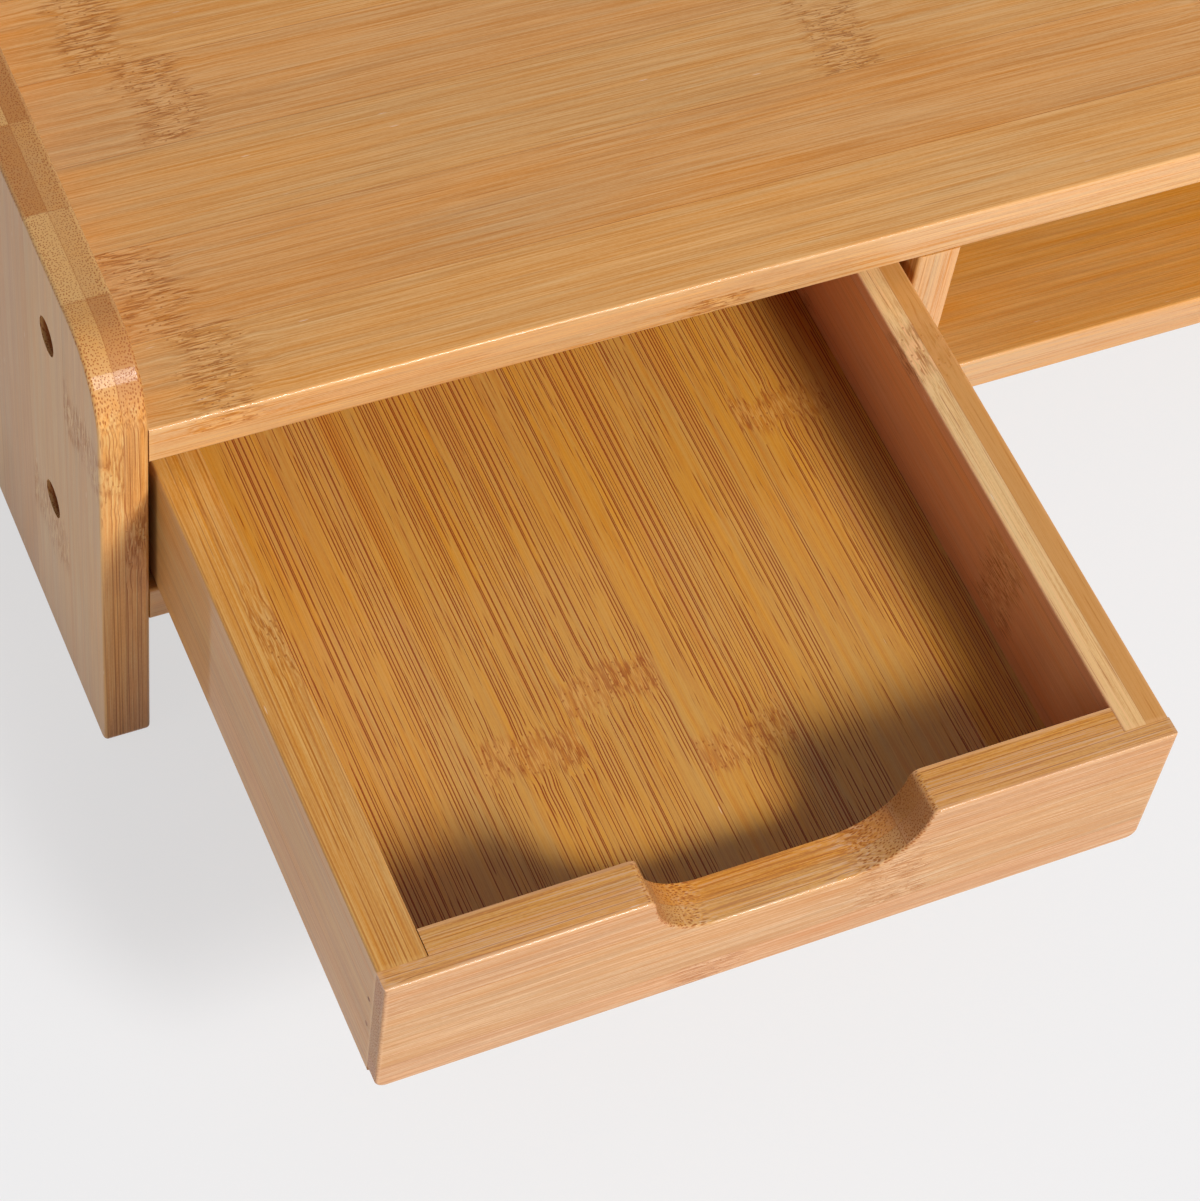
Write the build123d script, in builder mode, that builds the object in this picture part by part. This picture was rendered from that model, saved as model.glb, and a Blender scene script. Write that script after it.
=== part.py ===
"""Bamboo monitor stand with two small drawers and an open middle bay."""

import os

from build123d import *

# Driving sizes of the stand, in millimetres
STAND_WIDTH = 600.0
STAND_DEPTH = 240.0
SPACE_BELOW = 50.0
BAY_HEIGHT = 51.0
PANEL_RISE = 20.0
DRAWER_BAY_WIDTH = 200.0

# Thicknesses of the laminated boards
PANEL_THICKNESS = 12.0
SHELF_THICKNESS = 12.0
LOWER_THICKNESS = 12.0
DIVIDER_THICKNESS = 12.0
BAY_BACK_THICKNESS = 12.0

# Rounded corners of the side panels and drawer fronts, and eased edges of every board
PANEL_TOP_RADIUS = 20.0
PANEL_FOOT_RADIUS = 3.0
BOARD_EDGE_RADIUS = 1.0
DRAWER_EDGE_RADIUS = 0.8
FRONT_CORNER_RADIUS = 3.0

# Drawer boards, and the gaps that the drawer runs with
DRAWER_SIDE_GAP = 2.0
DRAWER_TOP_GAP = 6.0
DRAWER_REAR_GAP = 3.0
FRONT_THICKNESS = 12.0
FRONT_LIP = 5.0
WALL_THICKNESS = 12.0
BACK_THICKNESS = 12.0
FLOOR_THICKNESS = 4.0
FLOOR_RAISE = 7.0
GROOVE_DEPTH = 4.0
GROOVE_PLAY = 0.5

# Finger notch in the top edge of each drawer front
NOTCH_WIDTH = 68.0
NOTCH_DEPTH = 18.5
NOTCH_RADIUS = 18.0
NOTCH_LIP_RADIUS = 2.5

# How far the left drawer stands open
LEFT_DRAWER_OPENING = 144.5

# Screws through the side panels into the ends of the two long boards
PANEL_SCREW_INSET = 37.0
PANEL_SCREW_ABOVE_MIDDLE = 1.5
PANEL_SCREW_RADIUS = 2.0
PANEL_SCREW_LENGTH = 40.0
PANEL_SCREW_HEAD_RADIUS = 4.6
PANEL_SCREW_HEAD_HEIGHT = 2.5
PANEL_SCREW_SOCKET = 4.0
PANEL_SCREW_SOCKET_DEPTH = 1.6
COUNTERBORE_RADIUS = 5.0
COUNTERBORE_DEPTH = 7.0

# Countersunk screws from under the lower board into the dividers and bay backs
UNDER_SCREW_INSET = 37.0
UNDER_SCREW_SPACING = 120.0
UNDER_SCREW_RADIUS = 2.0
UNDER_SCREW_LENGTH = 32.0
UNDER_SCREW_HEAD_RADIUS = 4.0
UNDER_SCREW_SOCKET = 2.5
UNDER_SCREW_SOCKET_DEPTH = 1.5
COUNTERSINK_ANGLE = 90.0

# Glued dowels between the dividers and the shelf
DOWEL_RADIUS = 3.0
DOWEL_INTO_SHELF = 8.0
DOWEL_INTO_DIVIDER = 16.0
DOWEL_INSET = 37.0
DOWEL_CHAMFER = 0.8

# Headless brads through the drawer walls into the front and the back
BRAD_RADIUS = 0.6
BRAD_INTO_JOINT = 10.0
BRAD_BEHIND_LIP = 2.5
BRAD_LOWER_HEIGHT = 18.0
BRAD_SPACING = 11.0

# Air round every fastener in its hole, and the taper of a screw's point
FASTENER_FIT = 0.05
SCREW_POINT = 4.0

# Heights that follow from the sizes above, measured from the desk
lower_bottom = SPACE_BELOW
lower_top = lower_bottom + LOWER_THICKNESS
shelf_bottom = lower_top + BAY_HEIGHT
shelf_top = shelf_bottom + SHELF_THICKNESS
panel_height = shelf_top + PANEL_RISE

# The origin is on the desk, in the middle of the floor that the stand and its open drawer cover
stand_front = (LEFT_DRAWER_OPENING - STAND_DEPTH) / 2
stand_back = stand_front + STAND_DEPTH
stand_middle = (stand_front + stand_back) / 2
bay_back_middle = stand_back - BAY_BACK_THICKNESS / 2

# Places across the width, for the right-hand side
panel_inside = STAND_WIDTH / 2 - PANEL_THICKNESS
bay_middle = panel_inside - DRAWER_BAY_WIDTH / 2
divider_middle = panel_inside - DRAWER_BAY_WIDTH - DIVIDER_THICKNESS / 2

# The drawer box that the bay leaves room for
drawer_width = DRAWER_BAY_WIDTH - 2 * DRAWER_SIDE_GAP
drawer_height = BAY_HEIGHT - DRAWER_TOP_GAP
drawer_length = STAND_DEPTH - BAY_BACK_THICKNESS - DRAWER_REAR_GAP
drawer_inside_width = drawer_width - 2 * WALL_THICKNESS

LEFT = -1
RIGHT = 1
SIDE_NAMES = {LEFT: "left", RIGHT: "right"}
DRAWER_FRONTS = {LEFT: stand_front - LEFT_DRAWER_OPENING, RIGHT: stand_front}

os.makedirs("parts", exist_ok=True)


def save(builder, name):
    """Label a finished piece and write it to its own file."""
    builder.part.label = name
    export_step(builder.part, f"parts/{name}.step")


def eased(radius, thickness):
    """Radius of an eased edge, held under the half of a thin board that it has to fit in."""
    return min(radius, 0.45 * thickness)


def panel_screw_places(side):
    """Planes on a side panel's outer face, one for each screw, looking out of the stand."""
    places = []
    for board_bottom, thickness in ((lower_bottom, LOWER_THICKNESS), (shelf_bottom, SHELF_THICKNESS)):
        height = board_bottom + thickness / 2 + PANEL_SCREW_ABOVE_MIDDLE
        for along in (stand_front + PANEL_SCREW_INSET, stand_back - PANEL_SCREW_INSET):
            origin = (side * STAND_WIDTH / 2, along, height)
            places.append(Plane(origin=origin, x_dir=(0, 1, 0), z_dir=(side, 0, 0)))
    return places


def divider_places(side, inset, height):
    """Upright planes on a divider's middle line, near its front and its back."""
    places = []
    for along in (stand_front + inset, stand_back - inset):
        places.append(Plane(origin=(side * divider_middle, along, height)))
    return places


def under_screw_places(side, height):
    """Downward planes for the screws into one divider and the bay back beside it."""
    centres = [(plane.origin.X, plane.origin.Y) for plane in divider_places(side, UNDER_SCREW_INSET, height)]
    for shift in (-UNDER_SCREW_SPACING / 2, UNDER_SCREW_SPACING / 2):
        centres.append((side * bay_middle + shift, bay_back_middle))
    return [Plane(origin=(x, y, height), x_dir=(1, 0, 0), z_dir=(0, 0, -1)) for x, y in centres]


def brad_places(side):
    """Planes on the outer faces of one drawer's walls, with each brad's axis, looking out of the drawer."""
    front = DRAWER_FRONTS[side]
    along_front = front + FRONT_LIP + BRAD_BEHIND_LIP
    along_back = front + drawer_length - BACK_THICKNESS / 2
    places = []
    for wall in (LEFT, RIGHT):
        across = side * bay_middle + wall * drawer_width / 2
        for along in (along_front, along_back):
            for step in range(2):
                height = lower_top + BRAD_LOWER_HEIGHT + step * BRAD_SPACING
                places.append(Plane(origin=(across, along, height), x_dir=(0, 1, 0), z_dir=(wall, 0, 0)))
    return places


# Side panels, with rounded top corners, eased edges and counterbored screw holes
for side in (LEFT, RIGHT):
    with BuildPart() as side_panel:
        with BuildSketch(Plane.YZ.offset(side * (STAND_WIDTH - PANEL_THICKNESS) / 2)) as outline:
            with Locations((stand_middle, panel_height / 2)):
                Rectangle(STAND_DEPTH, panel_height)
            fillet(outline.vertices().group_by(Axis.Y)[-1], PANEL_TOP_RADIUS)
            fillet(outline.vertices().group_by(Axis.Y)[0], PANEL_FOOT_RADIUS)
        extrude(amount=PANEL_THICKNESS / 2, both=True)
        fillet(side_panel.edges(), eased(BOARD_EDGE_RADIUS, PANEL_THICKNESS))
        with Locations(*panel_screw_places(side)):
            CounterBoreHole(
                radius=PANEL_SCREW_RADIUS + FASTENER_FIT,
                counter_bore_radius=COUNTERBORE_RADIUS,
                counter_bore_depth=COUNTERBORE_DEPTH,
                depth=PANEL_THICKNESS,
            )
    save(side_panel, f"{SIDE_NAMES[side]}_side_panel")


def drill_board_ends():
    """Drill both ends of a long board for the panel screws that reach into it."""
    reach = PANEL_THICKNESS + PANEL_SCREW_LENGTH
    for side in (LEFT, RIGHT):
        with Locations(*panel_screw_places(side)):
            Cylinder(
                PANEL_SCREW_RADIUS + FASTENER_FIT,
                reach,
                align=(Align.CENTER, Align.CENTER, Align.MAX),
                mode=Mode.SUBTRACT,
            )


# Top shelf between the side panels, with blind holes underneath for the divider dowels
with BuildPart() as top_shelf:
    with BuildSketch(Plane.XY.offset(shelf_bottom)):
        with Locations((0, stand_middle)):
            Rectangle(2 * panel_inside, STAND_DEPTH)
    extrude(amount=SHELF_THICKNESS)
    fillet(top_shelf.edges().filter_by(Axis.X), eased(BOARD_EDGE_RADIUS, SHELF_THICKNESS))
    drill_board_ends()
    for side in (LEFT, RIGHT):
        with Locations(*divider_places(side, DOWEL_INSET, shelf_bottom)):
            Cylinder(
                DOWEL_RADIUS + FASTENER_FIT,
                DOWEL_INTO_SHELF + FASTENER_FIT,
                align=(Align.CENTER, Align.CENTER, Align.MIN),
                mode=Mode.SUBTRACT,
            )
save(top_shelf, "top_shelf")

# Lower board that carries the drawers, countersunk underneath for its screws
with BuildPart() as lower_board:
    with BuildSketch(Plane.XY.offset(lower_bottom)):
        with Locations((0, stand_middle)):
            Rectangle(2 * panel_inside, STAND_DEPTH)
    extrude(amount=LOWER_THICKNESS)
    fillet(lower_board.edges().filter_by(Axis.X), eased(BOARD_EDGE_RADIUS, LOWER_THICKNESS))
    drill_board_ends()
    for side in (LEFT, RIGHT):
        with Locations(*under_screw_places(side, lower_bottom)):
            CounterSinkHole(
                radius=UNDER_SCREW_RADIUS + FASTENER_FIT,
                counter_sink_radius=UNDER_SCREW_HEAD_RADIUS + FASTENER_FIT,
                depth=LOWER_THICKNESS,
                counter_sink_angle=COUNTERSINK_ANGLE,
            )
save(lower_board, "lower_board")

# Dividers between the middle bay and each drawer bay
for side in (LEFT, RIGHT):
    with BuildPart() as divider:
        with BuildSketch(Plane.XY.offset(lower_top)):
            with Locations((side * divider_middle, stand_middle)):
                Rectangle(DIVIDER_THICKNESS, STAND_DEPTH)
        extrude(amount=BAY_HEIGHT)
        fillet(divider.edges().filter_by(Axis.Z), eased(BOARD_EDGE_RADIUS, DIVIDER_THICKNESS))
        with Locations(*divider_places(side, DOWEL_INSET, shelf_bottom)):
            Cylinder(
                DOWEL_RADIUS + FASTENER_FIT,
                DOWEL_INTO_DIVIDER + FASTENER_FIT,
                align=(Align.CENTER, Align.CENTER, Align.MAX),
                mode=Mode.SUBTRACT,
            )
        with Locations(*under_screw_places(side, lower_bottom)[:2]):
            Cylinder(
                UNDER_SCREW_RADIUS + FASTENER_FIT,
                UNDER_SCREW_LENGTH + FASTENER_FIT,
                align=(Align.CENTER, Align.CENTER, Align.MAX),
                mode=Mode.SUBTRACT,
            )
    save(divider, f"{SIDE_NAMES[side]}_divider")

# Backs of the two drawer bays, which stiffen the stand and stop the drawers
for side in (LEFT, RIGHT):
    with BuildPart() as bay_back:
        with BuildSketch(Plane.XY.offset(lower_top)):
            with Locations((side * bay_middle, bay_back_middle)):
                Rectangle(DRAWER_BAY_WIDTH, BAY_BACK_THICKNESS)
        extrude(amount=BAY_HEIGHT)
        with Locations(*under_screw_places(side, lower_bottom)[2:]):
            Cylinder(
                UNDER_SCREW_RADIUS + FASTENER_FIT,
                UNDER_SCREW_LENGTH + FASTENER_FIT,
                align=(Align.CENTER, Align.CENTER, Align.MAX),
                mode=Mode.SUBTRACT,
            )
    save(bay_back, f"{SIDE_NAMES[side]}_bay_back")

# One panel screw, its head resting on the bottom of the counterbore and its point inwards
with BuildPart() as panel_screw:
    with BuildSketch(Plane.XZ):
        with BuildLine():
            Polyline(
                (0, -COUNTERBORE_DEPTH + PANEL_SCREW_HEAD_HEIGHT),
                (PANEL_SCREW_HEAD_RADIUS, -COUNTERBORE_DEPTH + PANEL_SCREW_HEAD_HEIGHT),
                (PANEL_SCREW_HEAD_RADIUS, -COUNTERBORE_DEPTH),
                (PANEL_SCREW_RADIUS, -COUNTERBORE_DEPTH),
                (PANEL_SCREW_RADIUS, -COUNTERBORE_DEPTH - PANEL_SCREW_LENGTH + SCREW_POINT),
                (0, -COUNTERBORE_DEPTH - PANEL_SCREW_LENGTH),
                close=True,
            )
        make_face()
    revolve(axis=Axis.Z)
    fillet(panel_screw.edges().group_by(Axis.Z)[-1], eased(PANEL_SCREW_HEAD_HEIGHT, PANEL_SCREW_HEAD_HEIGHT) / 2)
    with BuildSketch(Plane.XY.offset(-COUNTERBORE_DEPTH + PANEL_SCREW_HEAD_HEIGHT)):
        RegularPolygon(PANEL_SCREW_SOCKET / 2, 6, major_radius=False)
    extrude(amount=-PANEL_SCREW_SOCKET_DEPTH, mode=Mode.SUBTRACT)

for side in (LEFT, RIGHT):
    with BuildPart() as panel_screws:
        with Locations(*panel_screw_places(side)):
            add(panel_screw.part)
    save(panel_screws, f"{SIDE_NAMES[side]}_panel_screws")

# One countersunk screw, its head flush with the underside of the lower board
countersink_height = UNDER_SCREW_HEAD_RADIUS - UNDER_SCREW_RADIUS
with BuildPart() as under_screw:
    with BuildSketch(Plane.XZ):
        with BuildLine():
            Polyline(
                (0, 0),
                (UNDER_SCREW_HEAD_RADIUS, 0),
                (UNDER_SCREW_RADIUS, -countersink_height),
                (UNDER_SCREW_RADIUS, -UNDER_SCREW_LENGTH + SCREW_POINT),
                (0, -UNDER_SCREW_LENGTH),
                close=True,
            )
        make_face()
    revolve(axis=Axis.Z)
    with BuildSketch(Plane.XY):
        RegularPolygon(UNDER_SCREW_SOCKET / 2, 6, major_radius=False)
    extrude(amount=-UNDER_SCREW_SOCKET_DEPTH, mode=Mode.SUBTRACT)

with BuildPart() as underside_screws:
    for side in (LEFT, RIGHT):
        with Locations(*under_screw_places(side, lower_bottom)):
            add(under_screw.part)
save(underside_screws, "underside_screws")

# Dowels that stand in the dividers and reach into the shelf
with BuildPart() as dowel:
    with BuildSketch(Plane.XY.offset(-DOWEL_INTO_DIVIDER)):
        Circle(DOWEL_RADIUS)
    extrude(amount=DOWEL_INTO_DIVIDER + DOWEL_INTO_SHELF)
    chamfer(dowel.edges().filter_by(GeomType.CIRCLE), eased(DOWEL_CHAMFER, DOWEL_RADIUS))

with BuildPart() as divider_dowels:
    for side in (LEFT, RIGHT):
        with Locations(*divider_places(side, DOWEL_INSET, shelf_bottom)):
            add(dowel.part)
save(divider_dowels, "divider_dowels")


def floor_outline(side, play):
    """Outline of the space in the grooves of one drawer, smaller by some play on every edge."""
    front = DRAWER_FRONTS[side]
    slot_front = front + FRONT_THICKNESS - GROOVE_DEPTH
    slot_back = front + drawer_length - BACK_THICKNESS + GROOVE_DEPTH
    slot_width = drawer_inside_width + 2 * GROOVE_DEPTH
    with BuildSketch(Plane.XY.offset(lower_top + FLOOR_RAISE)) as outline:
        with Locations((side * bay_middle, (slot_front + slot_back) / 2)):
            Rectangle(slot_width - 2 * play, slot_back - slot_front - 2 * play)
    return outline.sketch


def drill_brads(side):
    """Drill the piece being made wherever a brad of its drawer goes."""
    with Locations(*brad_places(side)):
        Cylinder(
            BRAD_RADIUS + FASTENER_FIT,
            WALL_THICKNESS + BRAD_INTO_JOINT + FASTENER_FIT,
            align=(Align.CENTER, Align.CENTER, Align.MAX),
            mode=Mode.SUBTRACT,
        )


for side in (LEFT, RIGHT):
    drawer_name = f"{SIDE_NAMES[side]}_drawer"
    drawer_middle = side * bay_middle
    drawer_front_face = DRAWER_FRONTS[side]
    drawer_back_face = drawer_front_face + drawer_length
    drawer_top = lower_top + drawer_height

    # Drawer front: a full-width lip over the ends of the walls, a tongue between them, and the notch
    with BuildPart() as front:
        with BuildSketch(Plane.XY.offset(lower_top)):
            with BuildLine():
                Polyline(
                    (drawer_middle - drawer_width / 2, drawer_front_face),
                    (drawer_middle + drawer_width / 2, drawer_front_face),
                    (drawer_middle + drawer_width / 2, drawer_front_face + FRONT_LIP),
                    (drawer_middle + drawer_inside_width / 2, drawer_front_face + FRONT_LIP),
                    (drawer_middle + drawer_inside_width / 2, drawer_front_face + FRONT_THICKNESS),
                    (drawer_middle - drawer_inside_width / 2, drawer_front_face + FRONT_THICKNESS),
                    (drawer_middle - drawer_inside_width / 2, drawer_front_face + FRONT_LIP),
                    (drawer_middle - drawer_width / 2, drawer_front_face + FRONT_LIP),
                    close=True,
                )
            make_face()
        extrude(amount=drawer_height)
        lower_edges = front.edges().filter_by(Axis.Y).group_by(Axis.Z)[0].sort_by(Axis.X)
        fillet([lower_edges[0], lower_edges[-1]], FRONT_CORNER_RADIUS)
        with BuildSketch(Plane.XZ.offset(-drawer_front_face)) as notch:
            with Locations((drawer_middle, drawer_top)):
                Rectangle(NOTCH_WIDTH, 2 * NOTCH_DEPTH)
            fillet(notch.vertices().group_by(Axis.Y)[0], NOTCH_RADIUS)
        extrude(amount=-FRONT_THICKNESS, mode=Mode.SUBTRACT)
        notch_reach = NOTCH_WIDTH / 2 + NOTCH_LIP_RADIUS
        top_edges = front.edges().filter_by(Axis.Y).group_by(Axis.Z)[-1]
        fillet(
            top_edges.filter_by_position(Axis.X, drawer_middle - notch_reach, drawer_middle + notch_reach),
            NOTCH_LIP_RADIUS,
        )
        fillet(
            front.faces().sort_by(Axis.Y)[0].edges(),
            eased(DRAWER_EDGE_RADIUS, FRONT_LIP),
        )
        extrude(floor_outline(side, 0), amount=FLOOR_THICKNESS, mode=Mode.SUBTRACT)
        drill_brads(side)
    save(front, f"{drawer_name}_front")

    # Drawer walls, from the back of the lip to the back of the drawer
    for wall in (LEFT, RIGHT):
        with BuildPart() as drawer_wall:
            with BuildSketch(Plane.XY.offset(lower_top)):
                with Locations(
                    (
                        drawer_middle + wall * (drawer_width - WALL_THICKNESS) / 2,
                        (drawer_front_face + FRONT_LIP + drawer_back_face) / 2,
                    )
                ):
                    Rectangle(WALL_THICKNESS, drawer_length - FRONT_LIP)
            extrude(amount=drawer_height)
            fillet(drawer_wall.edges().filter_by(Axis.Y), eased(DRAWER_EDGE_RADIUS, WALL_THICKNESS))
            extrude(floor_outline(side, 0), amount=FLOOR_THICKNESS, mode=Mode.SUBTRACT)
            drill_brads(side)
        save(drawer_wall, f"{drawer_name}_{SIDE_NAMES[wall]}_wall")

    # Drawer back, between the walls
    with BuildPart() as back:
        with BuildSketch(Plane.XY.offset(lower_top)):
            with Locations((drawer_middle, drawer_back_face - BACK_THICKNESS / 2)):
                Rectangle(drawer_inside_width, BACK_THICKNESS)
        extrude(amount=drawer_height)
        fillet(back.edges().filter_by(Axis.X), eased(DRAWER_EDGE_RADIUS, BACK_THICKNESS))
        extrude(floor_outline(side, 0), amount=FLOOR_THICKNESS, mode=Mode.SUBTRACT)
        drill_brads(side)
    save(back, f"{drawer_name}_back")

    # Drawer floor, loose in the groove that runs round the inside
    with BuildPart() as floor:
        extrude(floor_outline(side, GROOVE_PLAY), amount=FLOOR_THICKNESS)
    save(floor, f"{drawer_name}_floor")

    # Brads, flush with the outer faces of the walls
    with BuildPart() as brads:
        with Locations(*brad_places(side)):
            Cylinder(
                BRAD_RADIUS,
                WALL_THICKNESS + BRAD_INTO_JOINT,
                align=(Align.CENTER, Align.CENTER, Align.MAX),
            )
    save(brads, f"{drawer_name}_brads")
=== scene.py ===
"""Looks, lights and camera of a bamboo monitor stand with two drawers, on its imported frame.

Lengths in the finishes, boards and screws are millimetres, because that is how a joiner reads
them. Objects, lights and the camera are in metres, in the frame's own axes: X is the stand's
length, the fronts look towards -Y, and the floor is at Z = 0.
"""

from __future__ import annotations

import logging
import math
from dataclasses import asdict, dataclass, fields, replace
from enum import Enum
from functools import reduce
from types import SimpleNamespace
from typing import Any, Sequence

import bmesh
import bpy
from mathutils import Matrix, Vector


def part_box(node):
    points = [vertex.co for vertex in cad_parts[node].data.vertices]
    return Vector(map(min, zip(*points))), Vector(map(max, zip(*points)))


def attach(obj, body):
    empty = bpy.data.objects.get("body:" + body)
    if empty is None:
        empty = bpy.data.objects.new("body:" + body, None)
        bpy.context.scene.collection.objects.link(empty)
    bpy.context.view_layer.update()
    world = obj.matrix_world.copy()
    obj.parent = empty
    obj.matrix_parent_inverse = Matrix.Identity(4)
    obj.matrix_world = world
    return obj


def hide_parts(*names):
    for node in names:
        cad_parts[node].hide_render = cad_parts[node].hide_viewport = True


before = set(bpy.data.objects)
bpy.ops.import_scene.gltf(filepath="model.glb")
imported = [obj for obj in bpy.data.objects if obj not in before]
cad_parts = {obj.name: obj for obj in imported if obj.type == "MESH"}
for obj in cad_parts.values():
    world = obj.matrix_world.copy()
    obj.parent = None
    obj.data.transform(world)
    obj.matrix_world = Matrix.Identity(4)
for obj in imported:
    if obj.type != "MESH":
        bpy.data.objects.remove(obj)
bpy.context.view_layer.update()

log = logging.getLogger("monitor_stand")

MM_PER_M = 1000.0
ZERO = Vector((0.0, 0.0, 0.0))
KNUCKLE_SPACING = 300.0
BUNDLE_SLANT = 0.83

# What can feed a node's input: a wire, or a plain value of the input's own kind.
Value = Any
Colour = tuple[float, float, float]
Place = tuple[float, float, float]


class Axis(Enum):
    """The frame's axes, as directions."""

    X = (1.0, 0.0, 0.0)
    Y = (0.0, 1.0, 0.0)
    Z = (0.0, 0.0, 1.0)

    @property
    def number(self) -> int:
        """Place of this axis in a vector."""
        return self.value.index(1.0)


class Wire:
    """A node's output. Arithmetic on it adds Math nodes to its graph."""

    def __init__(self, graph: Graph, socket: bpy.types.NodeSocket) -> None:
        """Keep the output with its graph.

        Args:
            graph: The graph that the node belongs to.
            socket: The node's output.
        """
        self.graph = graph
        self.socket = socket

    def __add__(self, other: Value) -> Wire:
        """Add a number."""
        return self.graph.math("ADD", self, other)

    def __sub__(self, other: Value) -> Wire:
        """Take a number away."""
        return self.graph.math("SUBTRACT", self, other)

    def __rsub__(self, other: Value) -> Wire:
        """Take this away from a number."""
        return self.graph.math("SUBTRACT", other, self)

    def __mul__(self, other: Value) -> Wire:
        """Multiply by a number."""
        return self.graph.math("MULTIPLY", self, other)

    def __truediv__(self, other: Value) -> Wire:
        """Divide by a number."""
        return self.graph.math("DIVIDE", self, other)

    def __neg__(self) -> Wire:
        """Turn the sign."""
        return self * -1.0

    def __abs__(self) -> Wire:
        """Drop the sign."""
        return self.graph.math("ABSOLUTE", self)


class Graph:
    """Lays out and wires the nodes of one tree."""

    def __init__(self, tree: bpy.types.NodeTree) -> None:
        """Start with an empty tree.

        Args:
            tree: The tree of a material, a group or the world.
        """
        self.tree = tree
        self.tree.nodes.clear()

    def node(self, kind: str, **settings: Any) -> bpy.types.Node:
        """Add a node.

        Args:
            kind: Blender's name of the node type.
            **settings: Properties to set on it.

        Returns:
            The new node.
        """
        node = self.tree.nodes.new(kind)
        for name, value in settings.items():
            setattr(node, name, value)
        return node

    def link(self, socket: bpy.types.NodeSocket, source: Value) -> None:
        """Give one input its source.

        Args:
            socket: The input.
            source: A wire, or a plain value.
        """
        if isinstance(source, Wire):
            self.tree.links.new(source.socket, socket)
        else:
            socket.default_value = source

    def feed(self, node: bpy.types.Node, *sources: Value, **named: Value) -> Wire:
        """Give a node's inputs their sources.

        Args:
            node: The node.
            *sources: Sources of its first inputs, in order.
            **named: Sources of other inputs, with underscores for the spaces of their names.

        Returns:
            The node's first output.
        """
        for socket, source in zip(node.inputs, sources):
            self.link(socket, source)
        for name, source in named.items():
            self.link(node.inputs[name.replace("_", " ")], source)
        return Wire(self, node.outputs[0])

    def match(self, node: bpy.types.Node, sources: dict[str, Value]) -> None:
        """Give those of a node's inputs their sources that have the same names.

        Args:
            node: The node.
            sources: Sources by name.
        """
        for socket in node.inputs:
            if socket.name in sources:
                self.link(socket, sources[socket.name])

    def use(self, kind: str, *sources: Value, **named: Value) -> Wire:
        """Add a node without settings, feed it and take its first output."""
        return self.feed(self.node(kind), *sources, **named)

    def end(self, kind: str, result: Wire) -> None:
        """Wire the tree's result to an output node."""
        self.link(self.node(kind).inputs[0], result)

    def read(self, kind: str, name: str) -> Wire:
        """Add a node that needs no input and take one of its outputs."""
        return Wire(self, self.node(kind).outputs[name])

    def math(self, operation: str, *sources: Value) -> Wire:
        """Work out one number with a Math node."""
        return self.feed(self.node("ShaderNodeMath", operation=operation), *sources)

    def most(self, *values: Value) -> Wire:
        """Take the largest of some numbers."""
        return reduce(lambda first, second: self.math("MAXIMUM", first, second), values)

    def least(self, *values: Value) -> Wire:
        """Take the smallest of some numbers."""
        return reduce(lambda first, second: self.math("MINIMUM", first, second), values)

    def vector(self, operation: str, *sources: Value) -> Wire:
        """Work out one vector with a Vector Math node."""
        return self.feed(self.node("ShaderNodeVectorMath", operation=operation), *sources)

    def dot(self, first: Value, second: Value) -> Wire:
        """Work out the dot product of two vectors.

        Args:
            first: One vector.
            second: The other one.

        Returns:
            The product.
        """
        node = self.node("ShaderNodeVectorMath", operation="DOT_PRODUCT")
        self.feed(node, first, second)
        return Wire(self, node.outputs["Value"])

    def stretch(self, place: Wire, x: float, y: float, z: float) -> Wire:
        """Multiply a place by a factor of its own along each axis."""
        return self.vector("MULTIPLY", place, Vector((x, y, z)))

    def join(self, x: Value, y: Value = 0.0, z: Value = 0.0) -> Wire:
        """Make a vector of three numbers."""
        return self.use("ShaderNodeCombineXYZ", x, y, z)

    def split(self, vector: Value) -> tuple[Wire, ...]:
        """Take a vector apart.

        Args:
            vector: The vector or colour.

        Returns:
            Its three numbers.
        """
        node = self.node("ShaderNodeSeparateXYZ")
        self.feed(node, vector)
        return tuple(Wire(self, socket) for socket in node.outputs)

    def step(self, value: Value, low: Value, high: Value, first: Value = 0.0, last: Value = 1.0) -> Wire:
        """Change smoothly from one number to another while a value crosses a range.

        Args:
            value: The value that crosses.
            low: Start of the range.
            high: End of the range.
            first: Result before the range.
            last: Result after it.

        Returns:
            The result.
        """
        node = self.node("ShaderNodeMapRange", interpolation_type="SMOOTHSTEP")
        return self.feed(node, Value=value, From_Min=low, From_Max=high, To_Min=first, To_Max=last)

    def fall(self, value: Value, low: Value, high: Value) -> Wire:
        """Fall smoothly from 1 to 0 while a value crosses a range."""
        return self.step(value, low, high, 1.0, 0.0)

    def mix(self, amount: Value, first: Value, second: Value) -> Wire:
        """Mix two colours.

        Args:
            amount: Share of the second one.
            first: Colour under it.
            second: Colour over it.

        Returns:
            The colour.
        """
        node = self.node("ShaderNodeMix", data_type="RGBA")
        by_name = {socket.identifier: socket for socket in [*node.inputs, *node.outputs]}
        for name, source in (("Factor_Float", amount), ("A_Color", first), ("B_Color", second)):
            self.link(by_name[name], source)
        return Wire(self, by_name["Result_Color"])

    def noise(self, place: Value, detail: float = 2.0, coarse: float = 0.5) -> Wire:
        """Read soft noise, about 0.5 on average, with features about 1 apart.

        Args:
            place: Where to read it.
            detail: Number of finer layers.
            coarse: Strength of each finer layer against the last.

        Returns:
            The noise.
        """
        return self.use("ShaderNodeTexNoise", Vector=place, Scale=1.0, Detail=detail, Roughness=coarse)

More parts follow.
